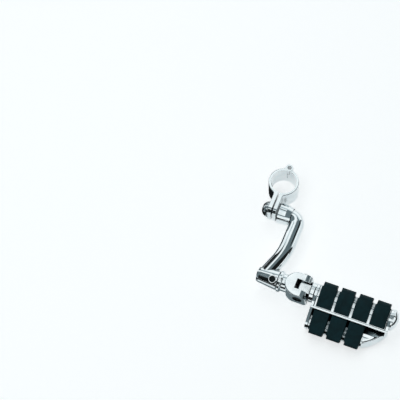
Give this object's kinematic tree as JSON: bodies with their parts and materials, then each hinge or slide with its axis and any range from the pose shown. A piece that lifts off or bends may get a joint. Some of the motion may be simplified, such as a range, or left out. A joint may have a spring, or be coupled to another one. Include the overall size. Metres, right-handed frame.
{
  "type": "motorcycle highway peg",
  "caption": "Folding highway foot peg with two rows of rubber pads on a chrome frame, carried by a clevis and an offset arm on a hinged tube clamp.",
  "frame": {"origin": "centre of the clamp's tube bore, half way along its width", "axes": "+Z along the tube, up; +X along the clamp bolt towards the peg, outboard; -Y from the clamp the way the arm reaches, towards the peg"},
  "size_m": [0.2113, 0.1944, 0.0431],
  "materials": {
    "clamp_chrome": "polished chrome plate on a forged steel band",
    "arm_chrome": "polished chrome plate on a cast arm",
    "clevis_chrome": "polished chrome plate on a forging",
    "frame_chrome": "polished chrome plate on a die casting",
    "fastener_chrome": "bright chrome plate",
    "bright_steel": "turned, zinc plated",
    "black_steel": "turned, black oxide",
    "pad_rubber": "moulded, matt"
  },
  "bodies": {
    "clamp": {"clamp_arm_half": "clamp_chrome", "clamp_bolt_half": "clamp_chrome", "clamp_hinge_pin": "bright_steel", "clamp_bolt": "fastener_chrome", "clamp_washer": "fastener_chrome", "tooth_washer": "bright_steel"},
    "arm": {"offset_arm": "arm_chrome", "shank_set_screw": "black_steel"},
    "clevis": {"clevis": "clevis_chrome", "pivot_pin": "black_steel", "retaining_ring": "bright_steel", "spring_washer": "bright_steel"},
    "peg": {"peg_adapter": "clevis_chrome", "peg_frame": "frame_chrome", "lock_washer": "bright_steel", "peg_mount_bolt": "fastener_chrome", "end_cap": "frame_chrome", "upper_pad_1": "pad_rubber", "upper_pad_2": "pad_rubber", "upper_pad_3": "pad_rubber", "upper_pad_4": "pad_rubber", "lower_pad_1": "pad_rubber", "lower_pad_2": "pad_rubber", "lower_pad_3": "pad_rubber"}
  },
  "joints": [
    {"name": "arm_swivel", "type": "hinge", "parent": "clamp", "child": "arm", "pos_m": [0, -0.036, 0], "axis": [1, 0, 0], "continuous": true},
    {"name": "clevis_swivel", "type": "hinge", "parent": "arm", "child": "clevis", "pos_m": [0, -0.1225, 0], "axis": [1, 0, 0], "continuous": true},
    {"name": "peg_fold", "type": "hinge", "parent": "clevis", "child": "peg", "pos_m": [0.0683, -0.1225, 0], "axis": [0, -1, 0], "range_deg": [0, 90]}
  ]
}
